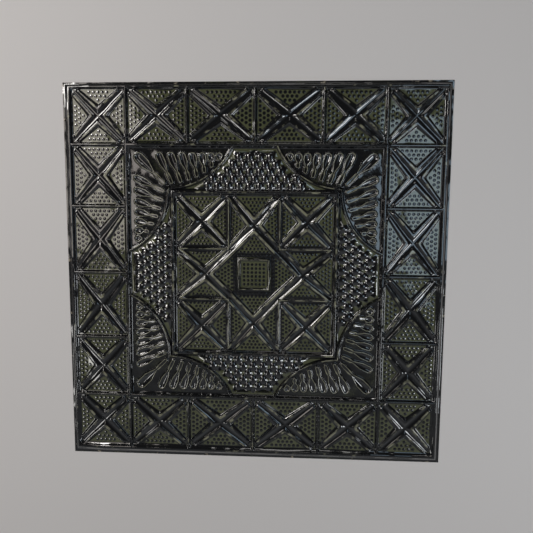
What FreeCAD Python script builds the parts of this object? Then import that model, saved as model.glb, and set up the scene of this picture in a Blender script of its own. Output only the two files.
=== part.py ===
import FreeCAD, Part
import math
import os
from FreeCAD import Vector

# Pressed tin ceiling tile: one square of thin steel sheet, stamped from behind so that ribs,
# crossed cells, fans of petals and a lattice of bosses stand up on its face.
# The tile lies face up. Millimetres, +Z up, origin in the middle of its flat underside.

# The sheet
TILE_SIDE = 610.0
GAUGE = 0.4
LIP = 2.5                    # flat nailing lip outside the edge rib

# The pattern was pressed a little out of register with the sheared edges
PATTERN_SHIFT = 2.7          # towards the upper edge
PATTERN_TURN = -0.25         # degrees

# Places of the square ribs, between the centre lines of opposite sides
FRAME_SPAN = 410.0           # big frame
INNER_SPAN = 262.0           # inner frame
GRID_SPAN = 82.0             # the two grid lines inside the inner frame
CENTRE_SPAN = 48.0           # small square in the middle

# Foot widths of the ribs
EDGE_RIB = 12.5              # before the pattern's shift widens and narrows it
FRAME_RIB = 12.0
INNER_RIB = 12.5
DIVIDER = 8.0                # between the cells of the border
GRID_RIB = 6.0               # between the cells inside the inner frame
CENTRE_RIB = 5.5
ARC_RIB = 7.0

# Heights of the pressed forms above the flat ground
EDGE_HEIGHT = 4.5
FRAME_HEIGHT = 6.0
DIVIDER_HEIGHT = 4.5
GRID_HEIGHT = 4.0
ARC_HEIGHT = 5.0
V_HEIGHT = 4.0
PETAL_HEIGHT = 3.5
BOSS_HEIGHT = 2.5

# Run of the sloping sides, as a share of a form's narrowest foot width
SIDE_RUN = 0.35

# Crossed cells: four V-shaped ribs round a crossing, with a groove between each two
MIDDLE_CELL = 107.5          # from the middle divider of a side to the next one
INNER_CROSSING = 78.5        # from the tile's middle to the crossing of an edge cell inside the inner frame
GROOVE = 1.2                 # between the feet of two neighbouring ribs
V_RIB = 12.5                 # foot width at the bend
V_TIP = 7.5                  # foot width at the ends of the legs
TIP_CLEARANCE = 10.5         # from the cell's corner to the end of a leg, along the groove
GRID_END_GAP = 3.0           # from the foot of the inner frame to the end of a grid rib

# Fans in the corners of the big frame
ARC_RADIUS = 111.0
PETALS_PER_SIDE = 7
PETAL_GAP = 3.5              # from the foot of the big frame to the petals' outer ends
FIRST_PETAL_GAP = 43.5       # from the big frame's inner corner to the first petal, along the frame
LAST_PETAL_GAP = 12.0        # from the arc rib to the last petal, along the frame
PETAL_CROWDING = 0.22        # how much closer the petals stand towards the last
FIRST_LEAN = 25.0            # degrees; the lean fades to none at the last petal
PETAL_WIDTH = 13.5
PETAL_STEM = 5.0             # width of the stem at its inner end
STEM_CLEARANCE = 0.5         # between the stem's end and the foot of the arc rib
PETAL_SHOULDER = 4.0         # length of the rounded outer end
CORNER_PETAL = 20.0          # width of the petal on the diagonal
CORNER_SHOULDER = 7.0
CORNER_GAP = 10.0            # from the big frame's inner corner to its outer end, along the diagonal

# Lattice of rhombic bosses between the fans
BOSS_PITCH = 16.7
ROW_PITCH = 11.3
FIRST_ROW_GAP = 18.5         # from the big frame's centre line to the first row
BOSS_LINE = 2.5              # flat line between two bosses

tile_half = TILE_SIDE / 2
edge_foot = tile_half - LIP - EDGE_RIB
frame_half = FRAME_SPAN / 2
inner_half = INNER_SPAN / 2
grid_half = GRID_SPAN / 2
fan_foot = inner_half + INNER_RIB / 2
arc_middle = (fan_foot, fan_foot + ARC_RADIUS)
stem_radius = ARC_RADIUS - ARC_RIB / 2 - PETAL_STEM / 2 - STEM_CLEARANCE


def flat_face(corners):
    return Part.Face(Part.makePolygon(corners + corners[:1]))


def closed_solid(faces):
    shell = Part.makeShell(faces)
    shell.sewShape()
    return Part.makeSolid(shell)


def square(half):
    return [(-half, -half), (half, -half), (half, half), (-half, half)]


def inset(outline, run):
    """Plan outline, anticlockwise, with every side moved inwards by the same run."""
    moved = []
    for index, (x, y) in enumerate(outline):
        x_before, y_before = outline[index - 1]
        x_after, y_after = outline[(index + 1) % len(outline)]
        length_in = math.hypot(x - x_before, y - y_before)
        length_out = math.hypot(x_after - x, y_after - y)
        normal_in = ((y_before - y) / length_in, (x - x_before) / length_in)
        normal_out = ((y - y_after) / length_out, (x_after - x) / length_out)
        reach = run / (1 + normal_in[0] * normal_out[0] + normal_in[1] * normal_out[1])
        moved.append((x + reach * (normal_in[0] + normal_out[0]), y + reach * (normal_in[1] + normal_out[1])))
    return moved


def drafted(outline, run, height):
    """Raised form: sides that slope in by the run from its foot outline to a flat crest."""
    foot = [Vector(x, y, 0) for x, y in outline]
    crest = [Vector(x, y, height) for x, y in inset(outline, run)]
    sides = [flat_face([foot[i - 1], foot[i], crest[i], crest[i - 1]]) for i in range(len(foot))]
    return closed_solid(sides + [flat_face(foot), flat_face(crest)])


def rib_section(middle, width, height):
    """Upright section of a rib in the XZ plane."""
    foot = width / 2
    crest = foot - SIDE_RUN * width
    return flat_face([
        Vector(middle - foot, 0, 0),
        Vector(middle + foot, 0, 0),
        Vector(middle + crest, 0, height),
        Vector(middle - crest, 0, height),
    ])


def straight_rib(x, low, high, width, height):
    """Rib that runs up the tile from one centre line to another."""
    section = rib_section(x, width, height).translated(Vector(0, low, 0))
    return section.extrude(Vector(0, high - low, 0))


def square_rib(half, width, height):
    """Rib round a square, with its centre line on the square."""
    run = SIDE_RUN * width
    outside = drafted(square(half + width / 2), run, height)
    inside = drafted(square(half - width / 2), -run, height)
    return outside.cut(inside)


def registered(shape):
    """Shape of the pattern, moved to where the dies met the sheet."""
    turned = shape.rotated(Vector(0, 0, 0), Vector(0, 0, 1), PATTERN_TURN)
    return turned.translated(Vector(0, PATTERN_SHIFT, 0))


def edge_rib():
    """Rib inside the lip: its outer side follows the sheet's edges and its inner side the pattern."""
    run = SIDE_RUN * (EDGE_RIB - PATTERN_SHIFT)
    outside = drafted(square(tile_half - LIP), run, EDGE_HEIGHT)
    inside = drafted(square(edge_foot), -run, EDGE_HEIGHT)
    return outside.cut(registered(inside))


def arc_rib(middle, start_angle, sweep):
    """Rib along an arc: its section turned about the arc's middle."""
    rib = rib_section(ARC_RADIUS, ARC_RIB, ARC_HEIGHT).revolve(Vector(0, 0, 0), Vector(0, 0, 1), sweep)
    rib.rotate(Vector(0, 0, 0), Vector(0, 0, 1), start_angle)
    return rib.translated(Vector(middle[0], middle[1], 0))


def v_rib(crossing, corner_a, corner_b, clearance):
    """V-shaped rib between two grooves that run from the crossing to two corners, named anticlockwise."""
    length_a = math.dist(crossing, corner_a)
    length_b = math.dist(crossing, corner_b)
    along_a = ((corner_a[0] - crossing[0]) / length_a, (corner_a[1] - crossing[1]) / length_a)
    along_b = ((corner_b[0] - crossing[0]) / length_b, (corner_b[1] - crossing[1]) / length_b)
    half_angle = math.acos(along_a[0] * along_b[0] + along_a[1] * along_b[1]) / 2
    near = GROOVE / 2
    far = near + V_RIB
    tip_far = near + V_TIP

    def leg_point(along, distance, offset, side):
        """Point by its distance along a groove and its offset from the groove, to the left for side 1."""
        return (crossing[0] + distance * along[0] - side * offset * along[1],
                crossing[1] + distance * along[1] + side * offset * along[0])

    outline = [
        leg_point(along_a, near / math.tan(half_angle), near, 1),
        leg_point(along_a, length_a - clearance, near, 1),
        leg_point(along_a, length_a - clearance, tip_far, 1),
        leg_point(along_a, far / math.tan(half_angle), far, 1),
        leg_point(along_b, length_b - clearance, tip_far, -1),
        leg_point(along_b, length_b - clearance, near, -1),
    ]
    return drafted(outline, SIDE_RUN * V_TIP, V_HEIGHT)


def box_cell(left, right, low, high):
    """Crossed cell that fills a rectangle."""
    crossing = ((left + right) / 2, (low + high) / 2)
    corners = [(right, high), (left, high), (left, low), (right, low)]
    return [v_rib(crossing, corners[i - 1], corners[i], TIP_CLEARANCE) for i in range(4)]


def border_side():
    """Dividers and crossed cells along the upper side of the tile, with its right-hand corner cell."""
    places = [-frame_half, -MIDDLE_CELL, 0, MIDDLE_CELL, frame_half]
    divider_end = edge_foot + SIDE_RUN * EDGE_RIB
    forms = [straight_rib(x, frame_half, divider_end, DIVIDER, DIVIDER_HEIGHT) for x in places]
    low = frame_half + FRAME_RIB / 2
    for left, right in zip(places[:-1], places[1:]):
        forms += box_cell(left + DIVIDER / 2, right - DIVIDER / 2, low, edge_foot)
    corner_low = frame_half + DIVIDER / 2
    forms += box_cell(corner_low, edge_foot, corner_low, edge_foot)
    return forms


def grid_rib(x, low, high):
    """Rib with sloping ends that runs up the tile between two cells."""
    half = GRID_RIB / 2
    outline = [(x - half, low), (x + half, low), (x + half, high), (x - half, high)]
    return drafted(outline, SIDE_RUN * GRID_RIB, GRID_HEIGHT)


def inner_side():
    """Upper side inside the inner frame: two grid ribs, the edge cell between them and a corner cell."""
    high = inner_half - INNER_RIB / 2
    corner_low = grid_half + GRID_RIB / 2
    forms = [grid_rib(x, grid_half - GRID_RIB / 2, high - GRID_END_GAP) for x in (-grid_half, grid_half)]
    forms += box_cell(corner_low, high, corner_low, high)

    # The two lower grooves of the edge cell run on into those of the next sides, in a square on its corner.
    side = grid_half - GRID_RIB / 2
    crossing = (0, INNER_CROSSING)
    square_corner = INNER_CROSSING / 2
    upper_right, upper_left = (side, high), (-side, high)
    lower_left, lower_right = (-square_corner, square_corner), (square_corner, square_corner)
    forms.append(v_rib(crossing, upper_right, upper_left, TIP_CLEARANCE))
    forms.append(v_rib(crossing, upper_left, lower_left, TIP_CLEARANCE))
    forms.append(v_rib(crossing, lower_left, lower_right, -SIDE_RUN * V_TIP))
    forms.append(v_rib(crossing, lower_right, upper_right, TIP_CLEARANCE))
    return forms


def petal(outer_end, inner_end, width, shoulder):
    """Petal with a blunt outer end and a stem that narrows towards its inner end."""
    length = math.dist(outer_end, inner_end)
    along = ((inner_end[0] - outer_end[0]) / length, (inner_end[1] - outer_end[1]) / length)
    half_outline = [(0, width / 4), (shoulder, width / 2), (length, PETAL_STEM / 2)]
    right_side = [(distance, -offset) for distance, offset in half_outline]
    outline = [
        (outer_end[0] + distance * along[0] - offset * along[1],
         outer_end[1] + distance * along[1] + offset * along[0])
        for distance, offset in right_side + half_outline[::-1]
    ]
    return drafted(outline, SIDE_RUN * PETAL_STEM, PETAL_HEIGHT)


def stem_end(outer_end, lean):
    """Where a petal's middle line comes close to the arc rib, by half its stem and the clearance."""
    direction = (-math.sin(lean), -math.cos(lean))
    x = outer_end[0] - arc_middle[0]
    y = outer_end[1] - arc_middle[1]
    along = x * direction[0] + y * direction[1]
    distance = math.sqrt(along ** 2 + stem_radius ** 2 - x ** 2 - y ** 2) - along
    return (outer_end[0] + distance * direction[0], outer_end[1] + distance * direction[1])


def corner_fan():
    """Upper right-hand corner of the big frame: two arc ribs and the petals that stand on them."""
    sweep = math.degrees(math.acos((arc_middle[1] - frame_half) / ARC_RADIUS))
    forms = [arc_rib(arc_middle, 270 - sweep, sweep), arc_rib(arc_middle[::-1], 180, sweep)]
    frame_foot = frame_half - FRAME_RIB / 2
    outer_line = frame_foot - PETAL_GAP
    first = frame_foot - FIRST_PETAL_GAP
    last = arc_middle[0] - math.sqrt(stem_radius ** 2 - (arc_middle[1] - outer_line) ** 2) + LAST_PETAL_GAP
    for index in range(PETALS_PER_SIDE):
        share = index / (PETALS_PER_SIDE - 1)
        crowded = share + PETAL_CROWDING * share * (1 - share)
        outer_end = (first + (last - first) * crowded, outer_line)
        inner_end = stem_end(outer_end, math.radians(FIRST_LEAN * (1 - share)))
        forms.append(petal(outer_end, inner_end, PETAL_WIDTH, PETAL_SHOULDER))
        forms.append(petal(outer_end[::-1], inner_end[::-1], PETAL_WIDTH, PETAL_SHOULDER))
    corner = frame_foot - CORNER_GAP / math.sqrt(2)
    corner_stem = fan_foot + ARC_RIB / 2 + PETAL_STEM / 2 + STEM_CLEARANCE
    forms.append(petal((corner, corner), (corner_stem, corner_stem), CORNER_PETAL, CORNER_SHOULDER))
    return forms


def boss(x, y, half_along, half_across):
    """Four-sided point on a rhombic foot."""
    foot = [
        Vector(x - half_along, y, 0),
        Vector(x, y - half_across, 0),
        Vector(x + half_along, y, 0),
        Vector(x, y + half_across, 0),
    ]
    point = Vector(x, y, BOSS_HEIGHT)
    sides = [flat_face([foot[i - 1], foot[i], point]) for i in range(len(foot))]
    return closed_solid(sides + [flat_face(foot)])


def lattice_side():
    """Staggered bosses between the two fans of the upper side, as many as stand clear of the arc ribs."""
    forms = []
    half_line = BOSS_LINE / 2
    side_length = math.hypot(BOSS_PITCH / 2, ROW_PITCH)
    half_along = BOSS_PITCH / 2 - half_line * side_length / ROW_PITCH
    half_across = ROW_PITCH - half_line * side_length / (BOSS_PITCH / 2)
    columns = int(inner_half / BOSS_PITCH)
    rows = int((frame_half - FIRST_ROW_GAP - half_across - inner_half) / ROW_PITCH) + 1
    for row in range(rows):
        y = frame_half - FIRST_ROW_GAP - row * ROW_PITCH
        stagger = BOSS_PITCH / 2 * ((row + 1) % 2)
        for column in range(-columns, columns):
            x = column * BOSS_PITCH + stagger
            corner = (abs(x) + half_along, y)
            if math.dist(corner, arc_middle) > ARC_RADIUS + ARC_RIB / 2:
                forms.append(boss(x, y, half_along, half_across))
    return forms


def pressed_forms():
    """Every raised form, standing on the ground plane: one side of the pattern turned to all four."""
    one_side = border_side() + inner_side() + corner_fan() + lattice_side()
    side = one_side[0].multiFuse(one_side[1:])
    sides = [side.rotated(Vector(0, 0, 0), Vector(0, 0, 1), 90 * quarter) for quarter in range(4)]
    frame = square_rib(frame_half, FRAME_RIB, FRAME_HEIGHT)
    inner_frame = square_rib(inner_half, INNER_RIB, FRAME_HEIGHT)
    centre = square_rib(CENTRE_SPAN / 2, CENTRE_RIB, GRID_HEIGHT)
    pattern = frame.multiFuse([inner_frame, centre] + sides)
    return edge_rib().fuse(registered(pattern)).removeSplitter()


def pressed_sheet():
    """The back follows the forms, the face is the same skin one gauge higher, and a rim joins the two."""
    forms = pressed_forms()
    feet = [face for face in forms.Faces if face.BoundBox.ZMax < GAUGE / 2]
    raised = [face for face in forms.Faces if face.BoundBox.ZMax > GAUGE / 2]
    corners = [Vector(x, y, 0) for x, y in square(tile_half)]
    ground = flat_face(corners).cut(Part.makeCompound(feet))
    back = ground.Faces + raised
    up = Vector(0, 0, GAUGE)
    face = [skin.translated(up) for skin in back]
    rim = Part.makePolygon(corners + corners[:1]).extrude(up).Faces
    return closed_solid(back + face + rim)


os.makedirs("parts", exist_ok=True)
pressed_sheet().exportStep("parts/pressed_sheet.step")
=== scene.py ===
import math

import bpy
import numpy as np
from mathutils import Matrix, Vector
from mathutils.geometry import delaunay_2d_cdt


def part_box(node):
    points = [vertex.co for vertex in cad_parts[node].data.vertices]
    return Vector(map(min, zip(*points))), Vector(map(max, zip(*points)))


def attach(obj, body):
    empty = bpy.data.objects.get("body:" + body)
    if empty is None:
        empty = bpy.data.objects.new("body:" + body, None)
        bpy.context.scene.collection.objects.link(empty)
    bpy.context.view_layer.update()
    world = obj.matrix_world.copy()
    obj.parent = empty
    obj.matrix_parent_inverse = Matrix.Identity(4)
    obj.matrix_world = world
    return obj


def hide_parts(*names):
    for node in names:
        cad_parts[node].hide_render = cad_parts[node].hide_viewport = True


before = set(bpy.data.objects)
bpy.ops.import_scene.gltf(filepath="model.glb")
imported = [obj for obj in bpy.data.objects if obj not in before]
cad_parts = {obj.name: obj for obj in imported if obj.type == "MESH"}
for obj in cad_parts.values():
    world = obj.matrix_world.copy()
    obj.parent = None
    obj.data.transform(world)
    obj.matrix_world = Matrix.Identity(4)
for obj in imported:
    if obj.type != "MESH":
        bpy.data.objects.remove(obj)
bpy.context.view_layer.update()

# The blank
# A square of thin steel sheet, sheared to size and laid in a press between a die and a punch.
# Every form below is pressed out of it, so the tile stays one piece. Plan sizes are in millimetres
# from the sheet's middle.
MM = 0.001
blank_low, blank_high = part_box("pressed_sheet")
sheet_half = (blank_high.x - blank_low.x) / 2 / MM
GAUGE = 0.4                  # thickness of the sheet
LINE_STEP = 40.0             # longest stretch of a line in the net of triangles
PATTERN_SHIFT = 2.7          # the pattern sits out of register, towards the upper edge
PATTERN_TURN = math.radians(-0.25)

pressed_forms = []           # low and high corner, form, and crest wear with painted sheen of each form, on the pattern's own plan
form_lines = []              # lines on the sheet that the net of triangles follows
register_turn = np.array([[math.cos(PATTERN_TURN), math.sin(PATTERN_TURN)],
                          [-math.sin(PATTERN_TURN), math.cos(PATTERN_TURN)]])


def registered(points):
    """Points of the pattern, where the dies met the sheet."""
    return points @ register_turn + (0, PATTERN_SHIFT)


def on_pattern(points):
    """Points of the sheet, on the pattern's own plan."""
    return (points - (0, PATTERN_SHIFT)) @ register_turn.T


def divided(corners, step=LINE_STEP):
    """Line through the corners, with points added so that no stretch is longer than the step."""
    corners = np.asarray(corners, float)
    points = [corners[:1]]
    for start, end in zip(corners[:-1], corners[1:]):
        parts = max(1, math.ceil(np.linalg.norm(end - start) / step))
        shares = np.arange(1, parts + 1)[:, None] / parts
        points.append(start + (end - start) * shares)
    return np.concatenate(points)


def square_line(half):
    """Closed line round a square."""
    return divided([(-half, -half), (half, -half), (half, half), (-half, half), (-half, -half)])


def turned(points, quarter):
    """Plan points turned about the sheet's middle by quarter turns."""
    cosine, sine = ((1, 0), (0, 1), (-1, 0), (0, -1))[quarter % 4]
    return points @ np.array([[cosine, sine], [-sine, cosine]], float)


def press(form, lines, rubbed_and_sheen, also_over=()):
    """Adds one form, which gives the height in millimetres over the plan and the rise, 0 to 1 at a crest.

    The net follows its lines, and rubbed_and_sheen is how far its crests are worn and painted pale as a
    highlight.
    """
    corners = np.concatenate([*lines, *also_over])
    pressed_forms.append((corners.min(0), corners.max(0), form, rubbed_and_sheen))
    form_lines.extend(registered(line) for line in lines)


def press_four(form, lines, rubbed_and_sheen, also_over=()):
    """Presses a form of the upper side on all four sides."""
    def turned_form(quarter):
        def upright_form(x, y):
            upright = turned(np.stack([x, y], axis=-1), -quarter)
            return form(upright[..., 0], upright[..., 1])
        return upright_form

    for quarter in range(4):
        turned_lines = [turned(line, quarter) for line in lines]
        turned_over = [turned(points, quarter) for points in also_over]
        press(turned_form(quarter), turned_lines, rubbed_and_sheen, turned_over)


# Square ribs
# Four ribs pressed round the sheet: one just inside the nailing lip, the big frame, the inner
# frame and the small square in the middle. Each has a rounded crest and soft feet.
LIP = 2.5
EDGE_RIB, EDGE_HEIGHT = 12.5, 4.5
FRAME_RIB, INNER_RIB, FRAME_HEIGHT = 12.0, 12.5, 6.0
CENTRE_RIB, CENTRE_HEIGHT = 5.5, 4.0
frame_half, inner_half, centre_half = 205.0, 131.0, 24.0       # from the middle to a rib's crest
edge_foot = sheet_half - LIP - EDGE_RIB
EDGE_WEAR_AND_SHEEN, FRAME_WEAR_AND_SHEEN, INNER_WEAR_AND_SHEEN, CENTRE_WEAR_AND_SHEEN = 0.2, 0.2, 0.5, 0.8     # how far crests are worn, and painted pale as a highlight along the crest
CREST_ROUND, FOOT_ROUND = 0.4, 0.4      # shares of a rib's half width that are rounded at crest and foot
CREST_FLAT = 0.12            # share that is flat on top of the crest
RIB_STEPS = (0, CREST_FLAT, 0.35, 0.7, 1)     # lines of a rib from crest to foot, in half widths


def rib_section(share, crest=CREST_ROUND, foot=FOOT_ROUND):
    """Height of a rib from 1 at its crest to 0 at its foot, with a slope between two rounded shares."""
    run = np.clip((share - CREST_FLAT) / (1 - CREST_FLAT), 0, 1) * (1 + foot)
    rounded_crest = 1 - crest / 2 - run ** 2 / (2 * crest)
    rounded_foot = (1 + foot - run) ** 2 / (4 * foot)
    slope = np.where(run < crest, rounded_crest, np.where(run > 1 - foot, rounded_foot, 1 - run))
    return slope / (1 - crest / 2)


def both_sides(steps):
    """Steps on both sides of a crest, with the crest itself once."""
    return [side * step for step in steps for side in ((-1, 1) if step else (1,))]


def square_rib(half, width, height, rubbed_and_sheen):
    """Rib round a square."""
    def form(x, y):
        rise = rib_section(np.abs(np.maximum(np.abs(x), np.abs(y)) - half) / (width / 2))
        return height * rise, rise

    loops = [square_line(half + step * width / 2) for step in both_sides(RIB_STEPS)]
    near, far = half - width / 2, half + width / 2
    mitres = [np.array([(x * near, y * near), (x * far, y * far)]) for x in (-1, 1) for y in (-1, 1)]
    press(form, loops + mitres, rubbed_and_sheen)


def edge_rib():
    """Rib inside the lip: its outer side follows the sheet's edges and its inner side the pattern."""
    def form(x, y):
        on_sheet = registered(np.stack([x, y], axis=-1))
        from_lip = sheet_half - LIP - np.abs(on_sheet).max(axis=-1)
        from_cells = np.maximum(np.abs(x), np.abs(y)) - edge_foot
        rise = rib_section(np.abs(2 * from_cells / (from_cells + from_lip) - 1))
        return EDGE_HEIGHT * rise, rise

    corner_signs = np.array([(-1, -1), (1, -1), (1, 1), (-1, 1), (-1, -1)], float)
    at_cells = corner_signs * edge_foot
    at_lip = on_pattern(corner_signs * (sheet_half - LIP))
    loops = [divided(at_cells + (at_lip - at_cells) * (1 + step) / 2) for step in both_sides(RIB_STEPS)]
    mitres = [np.stack([at_cells[corner], at_lip[corner]]) for corner in range(4)]
    press(form, loops + mitres, EDGE_WEAR_AND_SHEEN)


edge_rib()
square_rib(frame_half, FRAME_RIB, FRAME_HEIGHT, FRAME_WEAR_AND_SHEEN)
square_rib(inner_half, INNER_RIB, FRAME_HEIGHT, INNER_WEAR_AND_SHEEN)
square_rib(centre_half, CENTRE_RIB, CENTRE_HEIGHT, CENTRE_WEAR_AND_SHEEN)

# Dividers and grid ribs
# Straight ribs between the cells: those of the border run from the big frame to the edge rib, and
# those inside stop a little short of the inner frame with a rounded end.
DIVIDER, DIVIDER_HEIGHT = 8.0, 4.5
DIVIDER_OVERLAP = 4.0        # how far a divider runs into the edge rib
MIDDLE_CELL = 107.5          # from the middle divider of a side to the next one
GRID_RIB, GRID_HEIGHT = 6.0, 4.0
GRID_END_GAP = 12.25         # from the inner frame's middle line to the end of a grid rib's crest
# Crest wear of the dividers and grid ribs, which also paints pale highlights on their crests
DIVIDER_WEAR_AND_SHEEN, GRID_WEAR_AND_SHEEN = 0.3, 0.8
grid_half = 41.0             # from the tile's middle to a grid rib's crest
END_TURN = np.linspace(-math.pi / 2, math.pi / 2, 5)     # directions of the points round an end


def upright_rib(x_middle, low, high, width, height, rubbed_and_sheen):
    """Straight rib up the plan, with rounded ends."""
    def form(x, y):
        beyond = y - np.clip(y, low, high)
        rise = rib_section(np.hypot(x - x_middle, beyond) / (width / 2))
        return height * rise, rise

    lines = [divided([(x_middle, low), (x_middle, high)])]
    for step in RIB_STEPS[1:]:
        reach = step * width / 2
        top_end = [(x_middle - reach * math.sin(turn), high + reach * math.cos(turn)) for turn in END_TURN]
        low_end = [(x_middle + reach * math.sin(turn), low - reach * math.cos(turn)) for turn in END_TURN]
        lines.append(divided(top_end + low_end + top_end[:1]))
    press_four(form, lines, rubbed_and_sheen)


divider_places = (-frame_half, -MIDDLE_CELL, 0, MIDDLE_CELL, frame_half)
for divider_x in divider_places:
    upright_rib(divider_x, frame_half, edge_foot + DIVIDER_OVERLAP, DIVIDER, DIVIDER_HEIGHT, DIVIDER_WEAR_AND_SHEEN)
for side in (-1, 1):
    upright_rib(side * grid_half, grid_half, inner_half - GRID_END_GAP, GRID_RIB, GRID_HEIGHT, GRID_WEAR_AND_SHEEN)

# Crossed cells
# Four V-shaped ribs stand round the crossing of each cell and leave a groove along its two diagonals,
# so that the cell shows a cross. The V's are blunt at the crossing and slope down to flat pockets.
V_HEIGHT = 4.0
V_CREST, V_FOOT, V_GROOVE = 0.5, 0.5, 0.12     # rounded shares at its crest, at the pocket and the groove
GROOVE_FLOOR = 0.2           # height of the groove's bottom, in V heights
CREST_OFFSET = 7.4           # from the groove to a V's crest
FOOT_OFFSET = 12.5           # from the groove to the edge of the pocket
MIDDLE_V = 0.9               # both offsets in the cells round the middle, as a share of those elsewhere
LEG_TAPER = 0.66             # both offsets at the end of a leg, as a share of those at the crossing
MIDDLE_END = 1.1             # the same for the four V's that open towards the middle
CREST_BEND = 2.0             # radius of the crest round the crossing
FOOT_BEND = 3.0              # radius of the pocket's inner corner
LEG_CLEARANCE = 9.0          # from the cell's corner to where a leg starts to slope down
LEG_END = 6.0                # length of that slope
BEND_PARTS = 3               # stretches of a line round one half of a V's bend
HAIR = 1e-6                  # a width that counts as none
# Crest wear of the V's, which also paints pale highlights on their crests
BORDER_V_WEAR_AND_SHEEN, INNER_V_WEAR_AND_SHEEN = 0.5, 0.8
V_LINES = (0.55, 0.88, 1, 1.12, 1.3, 1.6, 2)     # lines of the net: 0 the groove, 1 the crest, 2 the pocket
bead_pockets = []            # pocket in each V: crossing, axis, half angle, and distance of its base


def v_rib(crossing, corner_a, corner_b, clearance):
    """V-shaped rib between two of a cell's grooves, which run from the crossing to the two corners."""
    crossing = np.asarray(crossing, float)
    arm_a = np.asarray(corner_a, float) - crossing
    arm_b = np.asarray(corner_b, float) - crossing
    length_a, length_b = np.linalg.norm(arm_a), np.linalg.norm(arm_b)
    axis = arm_a / length_a + arm_b / length_b
    axis = axis / np.linalg.norm(axis)
    cosine = float(axis @ arm_a) / length_a
    sine = math.sqrt(1 - cosine ** 2)
    by_the_middle = crossing[0] == 0 and crossing[1] < inner_half
    size = MIDDLE_V if by_the_middle else 1
    crest_offset, foot_offset = size * CREST_OFFSET, size * FOOT_OFFSET
    end_share = MIDDLE_END if by_the_middle and crossing @ axis < 0 else LEG_TAPER
    to_a = np.array([axis[1], -axis[0]])
    if to_a @ arm_a < 0:
        to_a = -to_a
    crest_bend_place = (crest_offset + CREST_BEND) / sine
    foot_bend_place = (foot_offset + FOOT_BEND) / sine
    bend_angle = math.acos(sine)
    taper_start = foot_bend_place * cosine

    def leg_taper(along, leg):
        """Share of both offsets that is left at this distance along a leg."""
        share = np.clip((along - taper_start) / (leg + LEG_END - taper_start), 0, 1)
        return 1 - (1 - end_share) * share

    def form(x, y):
        forward = (x - crossing[0]) * axis[0] + (y - crossing[1]) * axis[1]
        toward_a = (x - crossing[0]) * to_a[0] + (y - crossing[1]) * to_a[1]
        across = np.abs(toward_a)
        along = across * sine + forward * cosine
        offset = forward * sine - across * cosine
        leg = np.where(toward_a > 0, length_a, length_b) - clearance
        taper = leg_taper(along, leg)
        past_crest = np.where(along < crest_bend_place * cosine,
                              CREST_BEND - np.hypot(across, forward - crest_bend_place),
                              offset - crest_offset * taper)
        to_foot = np.where(along < foot_bend_place * cosine,
                           np.hypot(across, forward - foot_bend_place) - FOOT_BEND,
                           foot_offset * taper - offset)
        groove_share = np.clip(-past_crest / np.maximum(offset - past_crest, HAIR), 0, 1)
        pocket_share = np.clip(past_crest / np.maximum(past_crest + to_foot, HAIR), 0, 1)
        on_groove_side = past_crest < 0
        to_groove = GROOVE_FLOOR + (1 - GROOVE_FLOOR) * rib_section(groove_share, V_CREST, V_GROOVE)
        to_pocket = rib_section(pocket_share, V_CREST, V_FOOT)
        rise = np.where(on_groove_side, to_groove, to_pocket)
        rise = np.where((to_foot <= 0) | (offset < -HAIR), 0, rise) * rib_section((along - leg) / LEG_END)
        return V_HEIGHT * np.minimum(taper, 1) * rise, rise

    def placed(points):
        """Plan points from pairs of across and forward."""
        points = np.asarray(points)
        return crossing + points[:, :1] * to_a + points[:, 1:] * axis

    def leg_points(along, offset):
        """Pairs of across and forward from distances along a leg and off its groove."""
        return np.column_stack([along * sine - offset * cosine, along * cosine + offset * sine])

    def half_line(share, length):
        """Line of one leg from the V's middle to its end. Share 0 is the groove, 1 the crest, 2 the foot."""
        turns = np.linspace(0, bend_angle, BEND_PARTS + 1)
        start = crest_bend_place * cosine
        groove = leg_points(np.linspace(0, start, BEND_PARTS + 1), np.zeros(BEND_PARTS + 1))
        crest = np.column_stack([CREST_BEND * np.sin(turns), crest_bend_place - CREST_BEND * np.cos(turns)])
        foot = np.column_stack([FOOT_BEND * np.sin(turns), foot_bend_place - FOOT_BEND * np.cos(turns)])
        leg_end = length - clearance
        legs = []
        for offset in (0, crest_offset, foot_offset):
            stations = np.array([leg_end, leg_end + LEG_END / 2, leg_end + LEG_END])
            legs.append(leg_points(stations, offset * leg_taper(stations, leg_end)))
        curves = [np.concatenate(pair) for pair in zip((groove, crest, foot), legs)]
        inner = curves[0] if share <= 1 else curves[1]
        outer = curves[1] if share <= 1 else curves[2]
        part = share if share <= 1 else share - 1
        return inner + (outer - inner) * part

    lines = []
    for share in V_LINES:
        right = half_line(share, length_a)
        left = half_line(share, length_b) * (-1, 1)
        lines.append(placed(np.concatenate([left[:0:-1], right])))
    rubbed_and_sheen = BORDER_V_WEAR_AND_SHEEN if crossing[1] > frame_half else INNER_V_WEAR_AND_SHEEN
    press_four(form, lines, rubbed_and_sheen, [np.array([crossing, corner_a, corner_b], float)])
    return axis, math.acos(cosine)


def crossed_cell(crossing, corners, clearances, bases):
    """Four V's of a cell of the upper side.

    Corners and clearances run anticlockwise from the upper right, and so do the bases of the pockets.
    """
    for corner in corners:
        groove = divided([crossing, corner])
        form_lines.extend(registered(turned(groove, quarter)) for quarter in range(4))
    for number, base in enumerate(bases):
        after = (number + 1) % 4
        clearance = min(clearances[number], clearances[after])
        axis, half_angle = v_rib(crossing, corners[number], corners[after], clearance)
        bead_pockets.append((crossing, axis, half_angle, base))


def box_cell(left, right, low, high):
    """Crossed cell in a rectangle."""
    crossing = ((left + right) / 2, (low + high) / 2)
    corners = [(right, high), (left, high), (left, low), (right, low)]
    half_wide, half_high = (right - left) / 2, (high - low) / 2
    crossed_cell(crossing, corners, [LEG_CLEARANCE] * 4, (half_high, half_wide, half_high, half_wide))


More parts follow.
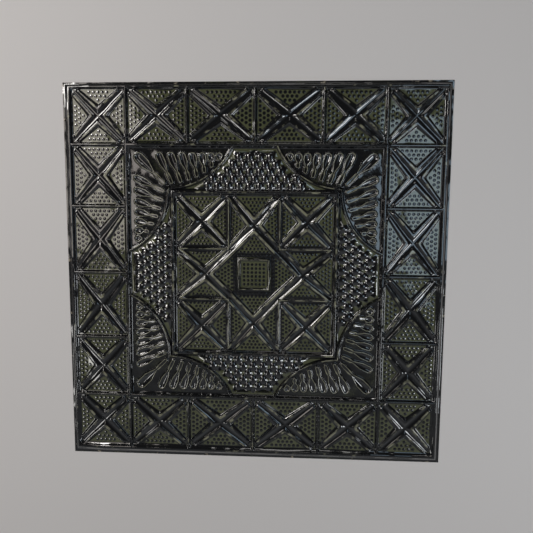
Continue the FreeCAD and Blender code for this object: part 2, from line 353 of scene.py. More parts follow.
cell_low = frame_half + FRAME_RIB / 2
cell_high = edge_foot
for left_divider, right_divider in zip(divider_places[:-1], divider_places[1:]):
    box_cell(left_divider + DIVIDER / 2, right_divider - DIVIDER / 2, cell_low, cell_high)
corner_low = frame_half + DIVIDER / 2
box_cell(corner_low, cell_high, corner_low, cell_high)
inner_high = inner_half - INNER_RIB / 2
inner_low = grid_half + GRID_RIB / 2
box_cell(inner_low, inner_high, inner_low, inner_high)

# Inside the inner frame the lower grooves of the cell in the middle of each side run on at 45 degrees and
# join up with those of the next side in a square that stands on its corner.
INNER_CROSSING = 78.5        # from the tile's middle
inner_side = grid_half - GRID_RIB / 2
diamond_corner = INNER_CROSSING / 2
crossed_cell(
    (0, INNER_CROSSING),
    [(inner_side, inner_high), (-inner_side, inner_high),
     (-diamond_corner, diamond_corner), (diamond_corner, diamond_corner)],
    (LEG_CLEARANCE, LEG_CLEARANCE, 0, 0),
    (inner_high - INNER_CROSSING, inner_side, INNER_CROSSING - centre_half - CENTRE_RIB / 2, inner_side),
)

# Fans
# In each corner of the big frame two arc ribs spring from the inner frame's corner, and petals stand
# on them: each a ridge that runs round a dish at its outer end, pinches in, and runs on round a slot.
ARC_RADIUS, ARC_RIB, ARC_HEIGHT = 111.0, 7.0, 5.0
PETALS_PER_SIDE = 7
PETAL_GAP = 3.5              # from the foot of the big frame to the petals' outer ends
FIRST_PETAL_GAP = 43.5       # from the big frame's inner corner to the first petal
LAST_PETAL_GAP = 12.0        # from the arc rib to the last petal
PETAL_CROWDING = 0.22        # how much closer the petals stand towards the last
FIRST_LEAN = 25.0            # degrees; the lean fades to none at the last petal
PETAL_WIDTH, PETAL_HEIGHT = 16.0, 3.5
CORNER_PETAL = 20.0          # width of the petal on the diagonal
CORNER_GAP = 9.0             # from the big frame's inner corner to its outer end
RIDGE = 2.6                  # from a petal's crest to its foot outside
DISH_RUN = 3.6               # from the crest to the bottom of the dish inside
STEM_HALF = 2.8              # from a stem's middle to its crest
STEM_NARROWING = 0.4         # how much less that is at the stem's end
STEM_FLARE = 4.0             # length over which a stem opens behind the pinch
FLARE_SHARE = 0.3            # the most that this is of a short stem
PINCH_HALF = 1.3             # from the middle to the crest where a petal pinches in
DISH_SHARE = 0.62            # the part of a petal's length that its dish takes
BULGE_SHARE = 0.45           # the part of its dish over which a petal keeps its full width
DISH_FLOOR = 0.5             # height of the dish over the ground, in petal heights
DISH_ROUND = 0.6             # rounded shares of the dish's slope
STEM_CLEARANCE = 0.5         # between a stem's end and the foot of the arc rib
SHORTEST_STEM = 24.0         # a petal below this length has only a dish
SHORTEST_DISH = 1.0          # least length of the straight part of such a dish
ARC_PARTS = 26               # stretches of a line along an arc rib
RIDGE_STEPS = (0, 0.5, 1)    # lines of a petal from crest to foot, in ridges
DISH_STEP = 0.45             # line inside its dish, in dish runs
LOOP_STEP = 9.0              # longest stretch of the lines along a petal
DISH_POINTS = 6              # points of the line inside the dish, along one side
NARROWEST_DISH = 0.3         # half width at which that line stops
# Crest wear of the arc ribs and petals, which also paints pale highlights on their crests
ARC_WEAR_AND_SHEEN, PETAL_WEAR_AND_SHEEN = 0.6, 1.1
fan_foot = inner_half + INNER_RIB / 2
arc_middle = np.array([fan_foot, fan_foot + ARC_RADIUS])
stem_radius = ARC_RADIUS - ARC_RIB / 2 - STEM_CLEARANCE


def arc_rib(mirrored):
    """Arc rib from the inner frame's upper right-hand corner to the big frame, or its mirror image."""
    sweep = math.acos((arc_middle[1] - frame_half) / ARC_RADIUS)

    def form(x, y):
        if mirrored:
            x, y = y, x
        off = np.abs(np.hypot(x - arc_middle[0], y - arc_middle[1]) - ARC_RADIUS)
        inside = (x <= arc_middle[0]) & (y <= frame_half)
        rise = np.where(inside, rib_section(off / (ARC_RIB / 2)), 0)
        return ARC_HEIGHT * rise, rise

    turns = np.linspace(0, sweep, ARC_PARTS + 1)
    lines = []
    for step in both_sides(RIB_STEPS):
        radius = ARC_RADIUS + step * ARC_RIB / 2
        line = arc_middle - radius * np.stack([np.sin(turns), np.cos(turns)], axis=-1)
        lines.append(line[:, ::-1] if mirrored else line)
    press_four(form, lines, ARC_WEAR_AND_SHEEN)


def petal(outer_end, inner_end, width):
    """Ridge in a figure of eight from the petal's outer end to its stem's end."""
    outer_end, inner_end = np.asarray(outer_end, float), np.asarray(inner_end, float)
    length = np.linalg.norm(inner_end - outer_end)
    along_axis = (inner_end - outer_end) / length
    across_axis = np.array([-along_axis[1], along_axis[0]])
    dish_half = width / 2 - RIDGE
    dish_start = width / 2
    if length < SHORTEST_STEM:
        end_half = min(STEM_HALF, dish_half)
        stem_end = max(length - end_half - RIDGE, dish_start + SHORTEST_DISH)
        places = [dish_start, stem_end]
        halves = [dish_half, end_half]
    else:
        stem_end = length - STEM_HALF - RIDGE
        pinch = DISH_SHARE * length
        bulge = dish_start + BULGE_SHARE * (pinch - dish_start)
        stem_start = pinch + min(STEM_FLARE, FLARE_SHARE * (stem_end - pinch))
        places = [dish_start, bulge, pinch, stem_start, stem_end]
        halves = [dish_half, dish_half, PINCH_HALF, STEM_HALF, STEM_HALF - STEM_NARROWING]

    def crest_half(along):
        """From the petal's middle line to its crest."""
        return np.interp(along, places, halves)

    def form(x, y):
        along = (x - outer_end[0]) * along_axis[0] + (y - outer_end[1]) * along_axis[1]
        across = (x - outer_end[0]) * across_axis[0] + (y - outer_end[1]) * across_axis[1]
        beyond = along - np.clip(along, dish_start, stem_end)
        off_crest = np.hypot(across, beyond) - crest_half(along)
        outside = rib_section(off_crest / RIDGE)
        inside = DISH_FLOOR + (1 - DISH_FLOOR) * rib_section(-off_crest / DISH_RUN, DISH_ROUND, DISH_ROUND)
        rise = np.where(off_crest > 0, outside, inside)
        return PETAL_HEIGHT * rise, rise

    def placed(points):
        """Plan points from pairs of along and across."""
        points = np.asarray(points)
        return outer_end + points[:, :1] * along_axis + points[:, 1:] * across_axis

    def loop(off_crest):
        """Line round the petal at this distance outside its crest."""
        stations = np.unique(np.concatenate([places, np.arange(dish_start, stem_end, LOOP_STEP)]))
        half = crest_half(stations) + off_crest
        side = list(zip(stations, half))
        first, last = half[0], half[-1]
        outer_round = [(dish_start - first * math.cos(turn), first * math.sin(turn)) for turn in END_TURN]
        inner_round = [(stem_end + last * math.cos(turn), -last * math.sin(turn)) for turn in END_TURN]
        other_side = [(place, -away) for place, away in side[::-1]]
        return placed(outer_round[:-1] + side + inner_round[1:-1] + other_side)

    def dish_line(off_crest):
        """Line inside the dish, as far as the dish is wide enough."""
        dish_end = stem_end if length < SHORTEST_STEM else pinch
        stations = np.linspace(dish_start, dish_end, DISH_POINTS)
        half = crest_half(stations) + off_crest
        wide = half > NARROWEST_DISH
        stations, half = stations[wide], half[wide]
        first = half[0]
        outer_round = [(dish_start - first * math.cos(turn), first * math.sin(turn)) for turn in END_TURN]
        side = list(zip(stations[1:], half[1:]))
        other_side = [(place, -away) for place, away in side[::-1]]
        return placed(outer_round + side + other_side + outer_round[:1])

    lines = [loop(step * RIDGE) for step in RIDGE_STEPS]
    lines.append(dish_line(-DISH_STEP * DISH_RUN))
    lines.append(placed([(dish_start, 0), (stem_end, 0)]))
    press_four(form, lines, PETAL_WEAR_AND_SHEEN)


def stem_end_on_arc(outer_end, lean):
    """Where a petal's middle line comes to the foot of the arc rib."""
    direction = np.array([-math.sin(lean), -math.cos(lean)])
    from_middle = outer_end - arc_middle
    along = from_middle @ direction
    distance = math.sqrt(along ** 2 + stem_radius ** 2 - from_middle @ from_middle) - along
    return outer_end + distance * direction


arc_rib(mirrored=False)
arc_rib(mirrored=True)
frame_foot = frame_half - FRAME_RIB / 2
petal_line = frame_foot - PETAL_GAP
first_petal = frame_foot - FIRST_PETAL_GAP
arc_at_petals = arc_middle[0] - math.sqrt(stem_radius ** 2 - (arc_middle[1] - petal_line) ** 2)
last_petal = arc_at_petals + LAST_PETAL_GAP
for number in range(PETALS_PER_SIDE):
    share = number / (PETALS_PER_SIDE - 1)
    crowded = share + PETAL_CROWDING * share * (1 - share)
    petal_end = np.array([first_petal + (last_petal - first_petal) * crowded, petal_line])
    petal_foot = stem_end_on_arc(petal_end, math.radians(FIRST_LEAN * (1 - share)))
    petal(petal_end, petal_foot, PETAL_WIDTH)
    petal(petal_end[::-1], petal_foot[::-1], PETAL_WIDTH)
corner_end = frame_foot - CORNER_GAP / math.sqrt(2)
corner_foot = fan_foot + ARC_RIB / 2 + STEM_CLEARANCE
petal((corner_end, corner_end), (corner_foot, corner_foot), CORNER_PETAL)

# Lattice
# Rhombic pillows in staggered rows fill the ground between two fans, with narrow lines of flat sheet
# between them. They are pressed up with the rest, nearly rhombic at the foot and oval on top.
BOSS_PITCH, ROW_PITCH, BOSS_HEIGHT = 16.7, 11.3, 2.5
FIRST_ROW_GAP = 18.5         # from the big frame's middle line to the first row
BOSS_LINE = 2.5              # width of the flat line between two bosses
BOSS_ROUNDING = 1.35         # of its foot: 1 is a sharp rhombus, 2 an ellipse like its top
BOSS_STEPS = (1, 0.75, 0.4)  # rings of a boss, as shares of its foot
# Crest wear of the bosses, which also paints pale highlights on them
BOSS_WEAR_AND_SHEEN = 0.2
BOSS_TURN = np.linspace(0, 2 * math.pi, 11)      # directions of the points round a boss


def boss(x_middle, y_middle, half_along, half_across):
    """One pillow of the lattice."""
    def outward(x, y):
        along = np.abs(x - x_middle) / half_along
        across = np.abs(y - y_middle) / half_across
        rounding = 2 - (2 - BOSS_ROUNDING) * np.clip(along ** 2 + across ** 2, 0, 1)
        return (along ** rounding + across ** rounding) ** (1 / rounding)

    def form(x, y):
        rise = np.clip(1 - outward(x, y) ** 2, 0, 1)
        return BOSS_HEIGHT * rise, rise

    x = half_along * np.cos(BOSS_TURN)
    y = half_across * np.sin(BOSS_TURN)
    foot = np.abs(np.cos(BOSS_TURN)) ** BOSS_ROUNDING + np.abs(np.sin(BOSS_TURN)) ** BOSS_ROUNDING
    ring = np.stack([x, y], axis=-1) / foot[:, None] ** (1 / BOSS_ROUNDING)
    middle = np.array([x_middle, y_middle])
    rings = [middle + step * ring for step in BOSS_STEPS]
    press_four(form, rings + [np.array([middle, rings[-1][0]])], BOSS_WEAR_AND_SHEEN)


side_length = math.hypot(BOSS_PITCH / 2, ROW_PITCH)
boss_along = BOSS_PITCH / 2 - BOSS_LINE / 2 * side_length / ROW_PITCH
boss_across = ROW_PITCH - BOSS_LINE / 2 * side_length / (BOSS_PITCH / 2)
boss_columns = int(inner_half / BOSS_PITCH)
boss_rows = int((frame_half - FIRST_ROW_GAP - boss_across - inner_half) / ROW_PITCH) + 1
for row in range(boss_rows):
    boss_y = frame_half - FIRST_ROW_GAP - row * ROW_PITCH
    stagger = BOSS_PITCH / 2 * ((row + 1) % 2)
    for column in range(-boss_columns, boss_columns):
        boss_x = column * BOSS_PITCH + stagger
        if math.dist((abs(boss_x) + boss_along, boss_y), arc_middle) > ARC_RADIUS + ARC_RIB / 2:
            boss(boss_x, boss_y, boss_along, boss_across)

# Beads
# Small round beads are pressed up all over the ground of every pocket, in staggered rows, and in square
# rows in the small square. They are low, and stand only where the ground is flat.
BEAD_HEIGHT = 0.45
BORDER_BEAD, BORDER_PITCH, BORDER_ROW = 3.0, 7.2, 6.2      # radius, and pitch along and between the rows
INNER_BEAD, INNER_PITCH, INNER_ROW = 2.6, 6.3, 5.3
BEAD_BASE_GAP = 4.0          # from a pocket's base to its first row
BEAD_RING = 0.75             # ring between the foot and the top, in bead radii
FLAT_GROUND = 1.2            # a bead stands only where the ground is no higher than this
BEAD_FOOT_TURN = np.linspace(0, 2 * math.pi, 7)[:-1]     # directions of the points round a bead
CENTRE_BEADS = 6             # beads along a side of the small square
CENTRE_BEAD_PITCH = 6.4      # along and between their rows


def pressed(points):
    """Height and rise of the highest form over each plan point, and how far its crest is worn and painted
    pale as a highlight.
    """
    points = on_pattern(points)
    height = np.zeros(len(points))
    rise = np.zeros(len(points))
    wear_and_sheen = np.zeros(len(points))
    for box_low, box_high, form, rubbed_and_sheen in pressed_forms:
        near = np.flatnonzero(np.all((points >= box_low) & (points <= box_high), axis=1))
        form_height, form_rise = form(points[near, 0], points[near, 1])
        higher = form_height > height[near]
        height[near[higher]] = form_height[higher]
        rise[near[higher]] = form_rise[higher]
        wear_and_sheen[near[higher]] = rubbed_and_sheen
    return height, rise, wear_and_sheen


def pocket_beads(crossing, axis, half_angle, base, radius, pitch, row_pitch):
    """Staggered rows of beads in one pocket: plan place and radius of each."""
    made = []
    for row in range(int(base / row_pitch)):
        forward = base - BEAD_BASE_GAP - row * row_pitch
        stagger = 0.5 * (row % 2)
        widest = int(forward * math.tan(half_angle) / pitch - stagger)
        for column in range(-widest, widest + 1):
            across = (column + stagger) * pitch
            x = crossing[0] + forward * axis[0] + across * axis[1]
            y = crossing[1] + forward * axis[1] - across * axis[0]
            made.append((x, y, radius))
    return made


def all_beads():
    """Plan place and radius of every bead that the dies hold."""
    border_sizes = (BORDER_BEAD, BORDER_PITCH, BORDER_ROW)
    inner_sizes = (INNER_BEAD, INNER_PITCH, INNER_ROW)
    one_side = []
    for crossing, axis, half_angle, base in bead_pockets:
        sizes = border_sizes if crossing[1] > frame_half else inner_sizes
        one_side += pocket_beads(crossing, axis, half_angle, base, *sizes)
    one_side = np.array(one_side)
    row = (np.arange(CENTRE_BEADS) - (CENTRE_BEADS - 1) / 2) * CENTRE_BEAD_PITCH
    in_centre = np.array([(x, y, INNER_BEAD) for x in row for y in row])
    sides = [np.column_stack([turned(one_side[:, :2], quarter), one_side[:, 2]]) for quarter in range(4)]
    made = np.concatenate(sides + [in_centre])
    return np.column_stack([registered(made[:, :2]), made[:, 2]])


beads = all_beads()
round_the_bead = np.stack([np.cos(BEAD_FOOT_TURN), np.sin(BEAD_FOOT_TURN)], axis=-1)
foot_points = (beads[:, None, :2] + round_the_bead * beads[:, None, 2:]).reshape(-1, 2)
foot_heights = pressed(foot_points)[0].reshape(len(beads), -1)
beads = beads[foot_heights.max(axis=1) < FLAT_GROUND]

# The pressed sheet
# One sheet of tinned steel, with all the forms above pressed into it. The face and the back are two nets
# of triangles over the same forms, one gauge apart, joined round the sheared rim into one closed mesh.
NET_EPSILON = 1e-5           # points of the net that lie closer than this are one
RIM_SLACK = 1e-3             # how far off the sheared edge a point of the rim may lie
FAN_BLACK, LIP_BLACK, RIB_FOOT_SHADE = 0.05, 0.05, 0.075     # rise that black ground is painted as; the last is painted shade at the feet of ribs
MOAT = 7.5                   # width of the painted shade round the small square
GRID_SKIRT = 2.5             # width of the painted shade along a grid rib
EDGE_REACH = 4.0             # how far in from the sheared edge the paint is chipped
SLOPE_STEP = 0.15            # millimetres either side over which a slope is taken


def black_ground(plan):
    """Rise that the flat ground is painted as.

    Black paint lies on the lip and between the petals; round the small square and along the grid ribs the
    black is painted shade at the feet of those ribs.
    """
    reach = np.abs(on_pattern(plan))
    far, near = reach.max(axis=1), reach.min(axis=1)
    off_arc = np.hypot(near - arc_middle[0], far - arc_middle[1])
    in_fan = (far < frame_half) & (far > inner_half) & (off_arc < ARC_RADIUS)
    on_corner = (far < frame_half) & (near > inner_half)
    on_lip = far > edge_foot
    outside_square = far - centre_half - CENTRE_RIB / 2
    in_moat = (outside_square > 0) & (outside_square < MOAT)
    off_grid = np.abs(near - grid_half) - GRID_RIB / 2
    by_grid = (off_grid < GRID_SKIRT) & (far > grid_half) & (far < inner_half)
    black = np.where(in_fan | on_corner, FAN_BLACK, np.where(on_lip, LIP_BLACK, 0))
    # Painted shade round the small square and along the grid ribs
    return np.where(in_moat | by_grid, RIB_FOOT_SHADE, black)


def net(with_beads):
    """Net that follows the sheet's lines: plan points, triangles, and the rise and slopes of the beads."""
    points, edges = [], []
    for line in [square_line(sheet_half)] + form_lines:
        first = len(points)
        points.extend(map(tuple, line))
        edges.extend((first + step, first + step + 1) for step in range(len(line) - 1))
    bead_facts = {}          # rise and slopes at each point of a bead, by its number
    if with_beads:
        for x, y, radius in beads:
            ring_slope = 2 * BEAD_RING * BEAD_HEIGHT / radius
            for reach, slope in ((1, 0), (BEAD_RING, ring_slope)):
                first = len(points)
                points.extend(map(tuple, (x, y) + round_the_bead * radius * reach))
                sides = len(round_the_bead)
                edges.extend((first + side, first + (side + 1) % sides) for side in range(sides))
                for side in range(sides):
                    bead_facts[first + side] = (1 - reach ** 2, *(-slope * round_the_bead[side]))
            bead_facts[len(points)] = (1.0, 0.0, 0.0)
            points.append((x, y))
    corners = [Vector(point) for point in points]
    plan, _, triangles, from_points, _, _ = delaunay_2d_cdt(corners, edges, [], 0, NET_EPSILON)
    plan = np.array([tuple(point) for point in plan])
    on_beads = np.zeros((len(plan), 3))
    for vertex, origins in enumerate(from_points):
        for origin in origins:
            if origin in bead_facts:
                on_beads[vertex] = bead_facts[origin]
    return plan, np.array(triangles), on_beads


def shaped(plan, on_beads):
    """Height, rise, crest wear with painted sheen, and upward normal at each point of a net."""
    height, rise, wear_and_sheen = pressed(plan)
    slopes = []
    for step in ((SLOPE_STEP, 0), (0, SLOPE_STEP)):
        ahead = pressed(plan + step)[0]
        behind = pressed(plan - step)[0]
        slopes.append((ahead - behind) / (2 * SLOPE_STEP))
    flat = np.ones(len(plan))
    normal = np.column_stack([-slopes[0] - on_beads[:, 1], -slopes[1] - on_beads[:, 2], flat])
    normal /= np.linalg.norm(normal, axis=1)[:, None]
    rise = np.maximum(np.maximum(rise, on_beads[:, 0]), black_ground(plan))
    return np.maximum(height, on_beads[:, 0] * BEAD_HEIGHT), rise, wear_and_sheen, normal


face_plan, face_triangles, face_beads = net(with_beads=True)
back_plan, back_triangles, no_beads = net(with_beads=False)
face_height, face_rise, face_wear_and_sheen, face_normal = shaped(face_plan, face_beads)
back_height, back_rise, back_wear_and_sheen, back_normal = shaped(back_plan, no_beads)


def rim_order(plan):
    """Vertices on the sheared edge, in order round the sheet."""
    on_rim = np.flatnonzero(np.abs(np.abs(plan).max(axis=1) - sheet_half) < RIM_SLACK)
    return on_rim[np.argsort(np.arctan2(plan[on_rim, 1], plan[on_rim, 0]))]


face_rim = rim_order(face_plan)
back_rim = rim_order(back_plan) + len(face_plan)
vertices = np.concatenate([
    np.column_stack([face_plan, face_height + GAUGE]),
    np.column_stack([back_plan, back_height]),
]) * MM
rim_quads = np.column_stack([face_rim, back_rim, np.roll(back_rim, -1), np.roll(face_rim, -1)])
faces = face_triangles.tolist() + (back_triangles[:, ::-1] + len(face_plan)).tolist() + rim_quads.tolist()
sheet_mesh = bpy.data.meshes.new("pressed_tin_sheet")
sheet_mesh.from_pydata(vertices.tolist(), [], faces)
sheet_mesh.update()
sheet_mesh.shade_smooth()
sheet_mesh.normals_split_custom_set_from_vertices(np.concatenate([face_normal, -back_normal]).tolist())
both_plans = np.concatenate([face_plan, back_plan])
edge_share = np.clip(1 - (sheet_half - np.abs(both_plans).max(axis=1)) / EDGE_REACH, 0, 1)
whole_rise = np.concatenate([face_rise, back_rise])
whole_wear_and_sheen = np.concatenate([face_wear_and_sheen, back_wear_and_sheen])
for fact, values in (("rise", whole_rise), ("rubbed_and_sheen", whole_wear_and_sheen), ("edge", edge_share)):
    attribute = sheet_mesh.attributes.new(fact, 'FLOAT', 'POINT')
    attribute.data.foreach_set("value", values.astype(np.float32))
sheet = bpy.data.objects.new("pressed_tin_sheet", sheet_mesh)
bpy.context.scene.collection.objects.link(sheet)

# Paint
# Gloss paint over tinned steel: olive green lies in the hollows, and a black coat was wiped over all
# that stands up. Some crests are worn pale, which stands partly for real wear and partly for painted
# highlights along the crest lines; the sheared edge is chipped, and the back was never painted.
OLIVE = (0.125, 0.132, 0.066, 1)
BLACK = (0.006, 0.006, 0.007, 1)
# Pale crest colour: worn paint, and a painted highlight along the crests
WORN_AND_SHEEN = (0.33, 0.32, 0.22, 1)
CHIPPED = (0.34, 0.29, 0.21, 1)
BARE_BACK = (0.16, 0.15, 0.13, 1)
STAINED_BACK = (0.10, 0.085, 0.065, 1)
COAT_RISE = 18.0             # how fast the black coat sets in as the metal rises
PATCHY, GRITTY = 1.5, 1.1    # how much broad patches and fine grit break the coat
COAT_LEVEL = 0.1             # how far the black sets in on the flat ground
WEAR_AND_SHEEN_GAIN = 0.35        # how much more of a rubbed crest is worn and painted pale as a highlight
CREST_FADE, WEAR_AND_SHEEN_FADE = (0.86, 0.97), (0.66, 0.84)    # rise and wear between which the black goes through to pale wear and painted highlight
EDGE_FADE, CHIP_FADE = (0.0, 0.5), (0.62, 0.68)       # the same for the chips along the sheared edge
STAIN_FADE = (0.4, 0.65)
PATCH_NOISE, GRIT_NOISE, WEAR_AND_SHEEN_NOISE = (24.0, 4.0), (380.0, 5.0), (70.0, 6.0)     # scale and detail
DENT_NOISE, RIPPLE_NOISE, STAIN_NOISE = (17.0, 2.0), (130.0, 3.0), (12.0, 6.0)
DENTS, RIPPLES, GRAIN = 0.0040, 0.00010, 0.00002      # metres of bump
GLOSS, PATCH_DULLNESS, CHIP_DULLNESS = 0.06, 0.10, 0.3     # roughness of the paint, and what is added to it
PAINT_SHINE = 0.8            # specular level of the paint under its varnish
VARNISH, VARNISH_IOR, VARNISH_ROUGHNESS = 1.0, 1.65, 0.06
BACK_ROUGHNESS, STAIN_DULLNESS, BACK_METAL = 0.38, 0.25, 0.6


def new_material(name):
    material = bpy.data.materials.new(name)
    material.use_nodes = True
    return material, material.node_tree


def node(tree, kind, inputs, **settings):
    """New shader node. Each of its inputs is a constant or the output of another node."""
    made = tree.nodes.new("ShaderNode" + kind)
    for name, value in settings.items():
        setattr(made, name, value)
    for name, value in inputs.items():
        if isinstance(value, bpy.types.NodeSocket):
            tree.links.new(value, made.inputs[name])
        else:
            made.inputs[name].default_value = value
    return made.outputs


def noise(tree, place, scale, detail):
    return node(tree, "TexNoise", {"Vector": place, "Scale": scale, "Detail": detail})["Fac"]


def sums(tree, terms, start):
    """Weighted sum of values, each a pair of output and weight."""
    total = start
    for value, weight in terms:
        total = node(tree, "Math", {0: value, 1: weight, 2: total}, operation='MULTIPLY_ADD')[0]
    return total


def faded(tree, value, low, high):
    """0 below the low value and 1 above the high one."""
    limits = {"Value": value, "From Min": low, "From Max": high}
    return node(tree, "MapRange", limits, interpolation_type='SMOOTHSTEP')["Result"]


def both(tree, first, second):
    """1 where both values are, and 0 where either is."""
    return node(tree, "Math", {0: first, 1: second}, operation='MULTIPLY')[0]


def painted_over(tree, factor, under, over):
    return node(tree, "Mix", {"Factor": factor, "A": under, "B": over}, data_type='RGBA')["Result"]


painted, tree = new_material("black_over_olive_paint")
place = node(tree, "TexCoord", {})["Object"]
rise = node(tree, "Attribute", {}, attribute_name="rise")["Fac"]
rubbed_and_sheen = node(tree, "Attribute", {}, attribute_name="rubbed_and_sheen")["Fac"]
edge = node(tree, "Attribute", {}, attribute_name="edge")["Fac"]
patches = noise(tree, place, *PATCH_NOISE)
grit = noise(tree, place, *GRIT_NOISE)
wear_and_sheen = noise(tree, place, *WEAR_AND_SHEEN_NOISE)
dents = noise(tree, place, *DENT_NOISE)
ripples = noise(tree, place, *RIPPLE_NOISE)

coat_start = COAT_LEVEL - (PATCHY + GRITTY) / 2
coat = faded(tree, sums(tree, [(rise, COAT_RISE), (patches, PATCHY), (grit, GRITTY)], coat_start), 0.0, 1.0)
# Pale crests: worn paint, and a painted highlight along the crest lines
rubbing_and_sheen = sums(tree, [(rubbed_and_sheen, WEAR_AND_SHEEN_GAIN)], wear_and_sheen)
worn_and_sheen = both(tree, faded(tree, rise, *CREST_FADE), faded(tree, rubbing_and_sheen, *WEAR_AND_SHEEN_FADE))
chips = both(tree, faded(tree, edge, *EDGE_FADE), faded(tree, wear_and_sheen, *CHIP_FADE))
colour = painted_over(tree, coat, OLIVE, BLACK)
colour = painted_over(tree, worn_and_sheen, colour, WORN_AND_SHEEN)
colour = painted_over(tree, chips, colour, CHIPPED)
bumps = sums(tree, [(dents, DENTS), (ripples, RIPPLES), (grit, GRAIN)], 0.0)
surface = node(tree, "Bump", {"Height": bumps, "Distance": 1.0, "Strength": 1.0})["Normal"]
dullness = sums(tree, [(patches, PATCH_DULLNESS), (chips, CHIP_DULLNESS)], GLOSS)
shader = tree.nodes["Principled BSDF"]
tree.links.new(colour, shader.inputs["Base Color"])
tree.links.new(dullness, shader.inputs["Roughness"])
tree.links.new(surface, shader.inputs["Normal"])
tree.links.new(surface, shader.inputs["Coat Normal"])
shader.inputs["Specular IOR Level"].default_value = PAINT_SHINE
shader.inputs["Coat Weight"].default_value = VARNISH
shader.inputs["Coat IOR"].default_value = VARNISH_IOR
shader.inputs["Coat Roughness"].default_value = VARNISH_ROUGHNESS

bare, tree = new_material("bare_tinned_back")
place = node(tree, "TexCoord", {})["Object"]
stains = faded(tree, noise(tree, place, *STAIN_NOISE), *STAIN_FADE)
shader = tree.nodes["Principled BSDF"]
tree.links.new(painted_over(tree, stains, BARE_BACK, STAINED_BACK), shader.inputs["Base Color"])
tree.links.new(sums(tree, [(stains, STAIN_DULLNESS)], BACK_ROUGHNESS), shader.inputs["Roughness"])
shader.inputs["Metallic"].default_value = BACK_METAL

sheet_mesh.materials.append(painted)
sheet_mesh.materials.append(bare)
finish_of_face = np.zeros(len(faces), np.int32)
finish_of_face[len(face_triangles):len(face_triangles) + len(back_triangles)] = 1
sheet_mesh.polygons.foreach_set("material_index", finish_of_face)
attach(sheet, "root")
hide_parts("pressed_sheet")

# Floor
# A plain pale studio floor, which the tile lies flat on. It is a sheet of matt paper, and not part of
# the tile.
FLOOR_SIDE = 8.0
FLOOR_GAP = 0.0004           # keeps the floor just clear of the tile's flat underside
FLOOR_COLOUR = (0.535, 0.515, 0.505, 1)
FLOOR_ROUGHNESS = 0.7
FLOOR_GLOW = 0.36            # it glows a little, so that it is pale without more light on the tile
bpy.ops.mesh.primitive_plane_add(size=FLOOR_SIDE, location=(0, 0, blank_low.z - FLOOR_GAP))
floor = bpy.context.object
floor.name = "floor"
pale, tree = new_material("pale_floor")
shader = tree.nodes["Principled BSDF"]
shader.inputs["Base Color"].default_value = FLOOR_COLOUR
shader.inputs["Roughness"].default_value = FLOOR_ROUGHNESS
shader.inputs["Emission Color"].default_value = FLOOR_COLOUR
shader.inputs["Emission Strength"].default_value = FLOOR_GLOW
floor.data.materials.append(pale)

# Light
# Lamps stand round the tile in a dim room: a strong one beyond its upper left corner, and weaker ones on
# the other sides. Two soft boxes overhead are mirrored in the flat ground of the left and right columns.
ROOM_COLOUR = (0.92, 0.96, 1.0, 1)
NEAR_STRENGTH, FAR_STRENGTH = 0.22, 0.030     # of the room towards the tile's lower and upper edge
NEAR_SIDE, FAR_SIDE = -0.8, 0.0               # the directions, along Y, between which it fades
world = bpy.data.worlds.new("dim_room")
bpy.context.scene.world = world
world.use_nodes = True
tree = world.node_tree
direction = node(tree, "TexCoord", {})["Generated"]
toward_far = node(tree, "SeparateXYZ", {"Vector": direction})["Y"]
limits = {"Value": toward_far, "From Min": NEAR_SIDE, "From Max": FAR_SIDE,
          "To Min": NEAR_STRENGTH, "To Max": FAR_STRENGTH}
tree.nodes["Background"].inputs["Color"].default_value = ROOM_COLOUR
tree.links.new(node(tree, "MapRange", limits)["Result"], tree.nodes["Background"].inputs["Strength"])


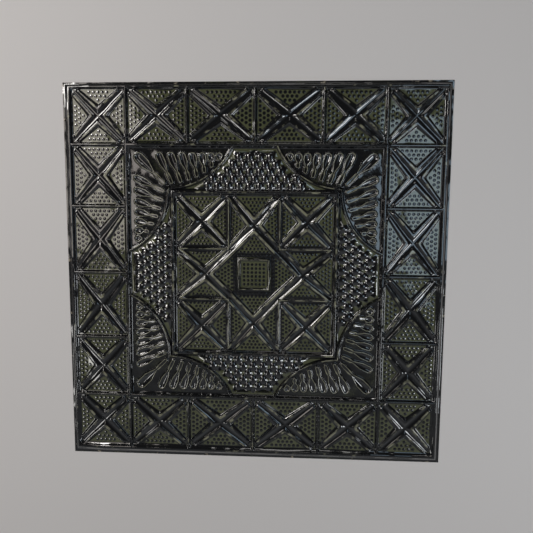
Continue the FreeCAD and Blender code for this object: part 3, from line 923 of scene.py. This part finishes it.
def soft_box(name, place, aim, wide, high, power, colour):
    """Rectangular lamp that faces its aim, with its high side along the tile's Y."""
    lamp = bpy.data.lights.new(name, 'AREA')
    lamp.shape = 'RECTANGLE'
    lamp.size = wide
    lamp.size_y = high
    lamp.energy = power
    lamp.color = colour
    box = bpy.data.objects.new(name, lamp)
    back = (Vector(place) - Vector(aim)).normalized()
    across = Vector((0, 1, 0)).cross(back).normalized()
    turn = Matrix((across, back.cross(across), back)).transposed().to_4x4()
    box.matrix_world = Matrix.Translation(place) @ turn
    bpy.context.scene.collection.objects.link(box)


soft_box("left_box", place=(-0.63, 0.245, 0.93), aim=(-0.26, 0.15, 0),
         wide=0.26, high=0.61, power=0.82, colour=(1, 0.92, 0.85))
soft_box("right_box", place=(0.47, 0.16, 0.93), aim=(0.26, 0.13, 0),
         wide=0.24, high=0.52, power=0.54, colour=(0.64, 0.83, 1))
soft_box("left_lamp", place=(-0.9, 0.70, 0.90), aim=(-0.1, 0.0, 0),
         wide=0.32, high=0.32, power=4.3, colour=(1, 0.96, 0.92))
soft_box("right_lamp", place=(0.95, -0.40, 0.88), aim=(0.1, 0.0, 0),
         wide=0.36, high=0.36, power=2.6, colour=(0.92, 0.96, 1))
soft_box("near_lamp", place=(-0.9, -0.50, 0.90), aim=(-0.1, 0.0, 0),
         wide=0.30, high=0.30, power=1.1, colour=(1, 0.98, 0.95))
soft_box("top_lamp", place=(0.05, 1.15, 0.85), aim=(0, 0.1, 0),
         wide=0.5, high=0.3, power=0.8, colour=(1, 0.98, 0.95))

# Camera
# It looks down on the tile at the photograph's angle, from a little right of and above the tile's middle,
# and is rolled slightly, as the photograph is.
CAMERA_PLACE = Vector((0.0681, 0.1128, 0.8622))
CAMERA_AIM = Vector((0.0202, 0.0160, 0.0))
CAMERA_ROLL = math.radians(-0.34)
LENS, SENSOR_WIDTH = 36.47, 36.0
camera_data = bpy.data.cameras.new("camera")
camera_data.lens = LENS
camera_data.sensor_width = SENSOR_WIDTH
camera = bpy.data.objects.new("camera", camera_data)
forward = (CAMERA_AIM - CAMERA_PLACE).normalized()
level = forward.cross(Vector((0, 1, 0))).normalized()
upright = level.cross(forward)
up = upright * math.cos(CAMERA_ROLL) + level * math.sin(CAMERA_ROLL)
right = forward.cross(up)
turn = Matrix((right, up, -forward)).transposed().to_4x4()
camera.matrix_world = Matrix.Translation(CAMERA_PLACE) @ turn
bpy.context.scene.collection.objects.link(camera)
bpy.context.scene.camera = camera
bpy.context.scene.view_settings.view_transform = 'Standard'
